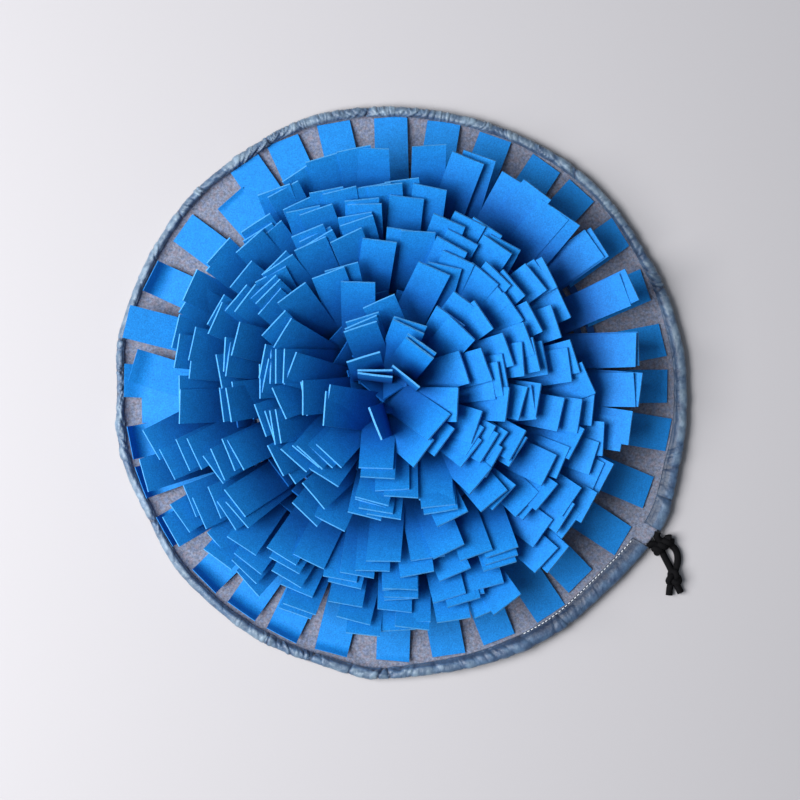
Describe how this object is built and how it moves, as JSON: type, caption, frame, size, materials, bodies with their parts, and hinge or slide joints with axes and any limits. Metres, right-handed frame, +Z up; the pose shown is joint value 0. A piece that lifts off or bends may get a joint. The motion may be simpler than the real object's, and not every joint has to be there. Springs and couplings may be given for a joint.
{
  "type": "snuffle mat",
  "caption": "Round felt snuffle mat with rings of felt tabs on a grey felt base, its rim drawn up by a cord in a gathered casing.",
  "frame": {"origin": "middle of the mat's box, on the surface it lies on", "axes": "+Z up out of the mat, +Y towards the top of the mat as seen from above, so that the cord comes out at +X -Y"},
  "size_m": [0.4516, 0.4492, 0.0701],
  "materials": {
    "grey_felt": "heathered grey needle felt",
    "casing_cloth": "grey-blue woven cloth with a satin sheen, gathered",
    "blue_felt": "bright blue matt felt",
    "black_cord": "black braided elastic cord"
  },
  "bodies": {
    "root": {"felt_base": "grey_felt", "edge_casing": "casing_cloth", "felt_fringe_01": "blue_felt", "felt_fringe_02": "blue_felt", "felt_fringe_03": "blue_felt", "felt_fringe_04": "blue_felt", "felt_fringe_05": "blue_felt", "felt_fringe_06": "blue_felt", "felt_fringe_07": "blue_felt", "felt_fringe_08": "blue_felt", "felt_fringe_09": "blue_felt", "felt_fringe_10": "blue_felt", "felt_fringe_11": "blue_felt", "felt_fringe_12": "blue_felt", "felt_fringe_13": "blue_felt", "felt_fringe_14": "blue_felt", "felt_fringe_15": "blue_felt", "felt_fringe_16": "blue_felt", "cord_exit_a": "black_cord", "cord_exit_b": "black_cord", "cord_strand_a": "black_cord", "cord_strand_b": "black_cord", "cord_tail_a": "black_cord", "cord_tail_b": "black_cord", "cord_half_knot": "black_cord", "cord_end_knot": "black_cord"}
  },
  "joints": []
}
